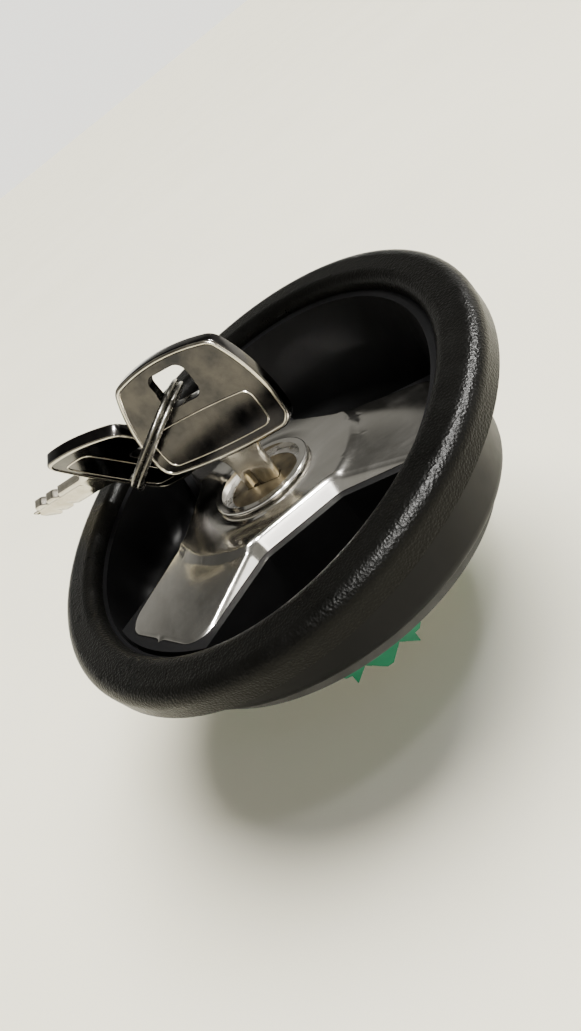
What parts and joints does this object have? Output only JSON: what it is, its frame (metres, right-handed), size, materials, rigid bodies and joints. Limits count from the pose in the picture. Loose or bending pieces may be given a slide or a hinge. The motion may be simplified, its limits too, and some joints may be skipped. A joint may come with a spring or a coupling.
{
  "type": "locking deck fill cap",
  "caption": "Locking filler cap: sloped rim on a round bowl, three-armed bright handle plate, key lock that engages a free-running neck insert, vent valve, key and spare on a split ring.",
  "frame": {"origin": "on the lock axis, in the plane where the neck gasket lands", "axes": "+Z along the lock axis out of the deck; +X along the drive bolt; one handle arm points along +Y"},
  "size_m": [0.0844, 0.0849, 0.0593],
  "materials": {
    "rim": "grained black",
    "bowl": "smooth black, glossy inside",
    "bright": "polished",
    "zinc": "die-cast, satin",
    "plug": "drawn, dull",
    "steel": "plated",
    "seal": "moulded",
    "insert": "green moulded",
    "valve": "natural moulded",
    "cup": "black moulded",
    "nickel": "nickel-plated, worn"
  },
  "bodies": {
    "cap": {"rim_ring": "rim", "rim_screws": "steel", "bowl_shell": "bowl", "handle_core": "bowl", "handle_plate": "bright", "lock_bezel": "bright", "lock_housing": "zinc", "lock_oring": "seal", "lock_nut": "steel", "hub_oring": "seal", "hub_cover": "steel", "cover_screws": "steel", "neck_gasket": "seal", "vent_cup": "cup", "vent_spring": "steel"},
    "plug": {"lock_plug": "plug", "wafers": "plug", "wafer_springs": "steel", "drive_cam": "zinc", "cam_screw": "steel"},
    "bolt": {"drive_bolt": "steel"},
    "insert": {"neck_insert": "insert"},
    "valve": {"vent_poppet": "valve", "vent_seal": "seal"},
    "key": {"key": "nickel"},
    "ring": {"key_ring": "steel"},
    "spare": {"spare_key": "nickel"}
  },
  "joints": [
    {"name": "lock_turn", "type": "hinge", "parent": "cap", "child": "plug", "pos_m": [0, 0, 0], "axis": [0, 0, 1], "range_deg": [0, 90]},
    {"name": "bolt_slide", "type": "slide", "parent": "cap", "child": "bolt", "axis": [1, 0, 0], "range_m": [0, 0.00622]},
    {"name": "key_pull", "type": "slide", "parent": "plug", "child": "key", "axis": [0, 0, 1], "range_m": [0, 0.024]},
    {"name": "ring_swing", "type": "hinge", "parent": "key", "child": "ring", "pos_m": [-0.00265, 0.00179, 0.0361], "axis": [0.5592, 0.829, 0], "range_deg": [0, 110]},
    {"name": "spare_swing", "type": "hinge", "parent": "ring", "child": "spare", "pos_m": [-0.00873, 0.00589, 0.03122], "axis": [0.4595, -0.3099, -0.8324], "range_deg": [0, 45]},
    {"name": "insert_spin", "type": "hinge", "parent": "cap", "child": "insert", "pos_m": [0, 0, 0], "axis": [0, 0, 1], "continuous": true},
    {"name": "vent_lift", "type": "slide", "parent": "cap", "child": "valve", "axis": [0, 0, 1], "range_m": [0, 0.002], "stiffness_N_per_m": 60, "springref_m": -0.002, "deforming": ["vent_spring"]}
  ],
  "couplings": [
    {"joint": "bolt_slide", "follows": "lock_turn", "m_per_rad": 0.00396}
  ]
}
